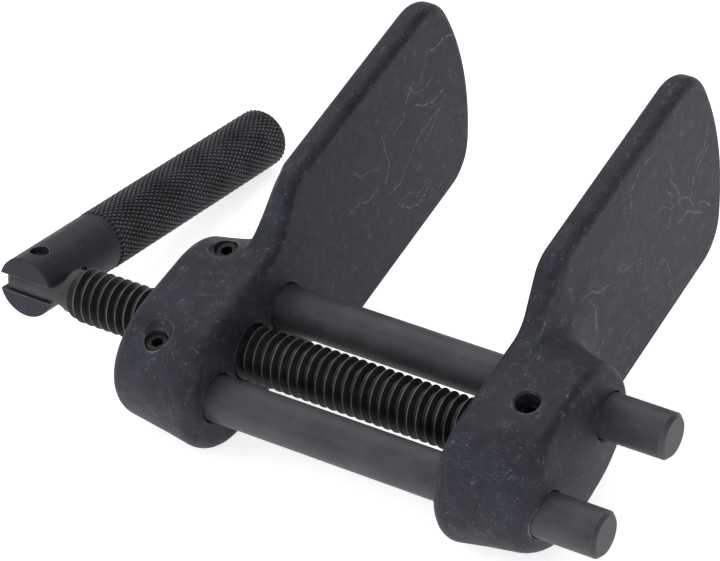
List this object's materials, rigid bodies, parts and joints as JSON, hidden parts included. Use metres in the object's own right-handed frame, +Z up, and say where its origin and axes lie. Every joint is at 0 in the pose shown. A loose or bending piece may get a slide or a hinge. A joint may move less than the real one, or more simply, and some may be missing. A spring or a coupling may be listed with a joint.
{
  "type": "disc brake pad spreader",
  "caption": "Disc brake pad spreader with flat forged jaw blades on guide rods, a lead screw between the rods and a folding knurled handle.",
  "frame": {"origin": "middle of the footprint, on the bench that the tool lies on", "axes": "+X along the guide rods, from the handle's side toward the rods' free ends; +Z up from the bench; +Y toward the blades' tips"},
  "size_m": [0.1864, 0.1343, 0.0755],
  "materials": {
    "forged_steel": "matte black oxide on a forged surface, with fine scuffs",
    "rod_steel": "smooth satin black oxide",
    "screw_steel": "oiled black oxide with thin bright thread crests",
    "handle_steel": "black oxide, turned and knurled",
    "fastener_steel": "dark black oxide"
  },
  "bodies": {
    "frame": {"fixed_jaw": "forged_steel", "guide_rod_front": "rod_steel", "guide_rod_rear": "rod_steel", "rod_set_screw_front": "fastener_steel", "rod_set_screw_rear": "fastener_steel"},
    "slider": {"sliding_jaw": "forged_steel", "screw_retainer": "fastener_steel"},
    "screw": {"lead_screw": "screw_steel"},
    "crank": {"handle": "handle_steel", "handle_pin": "fastener_steel"}
  },
  "joints": [
    {"name": "jaw_slide", "type": "slide", "parent": "frame", "child": "slider", "axis": [1, 0, 0], "range_m": [-0.0689, 0.0159]},
    {"name": "screw_turn", "type": "hinge", "parent": "slider", "child": "screw", "pos_m": [-0.0848, -0.03886, 0.02109], "axis": [1, 0, 0], "range_deg": [-9360, 2160]},
    {"name": "handle_fold", "type": "hinge", "parent": "screw", "child": "crank", "pos_m": [-0.0848, -0.03886, 0.02109], "axis": [0, 0.1253, 0.9921], "range_deg": [-8, 188]}
  ],
  "couplings": [
    {"joint": "jaw_slide", "follows": "screw_turn", "m_per_rad": 0.00042176}
  ]
}
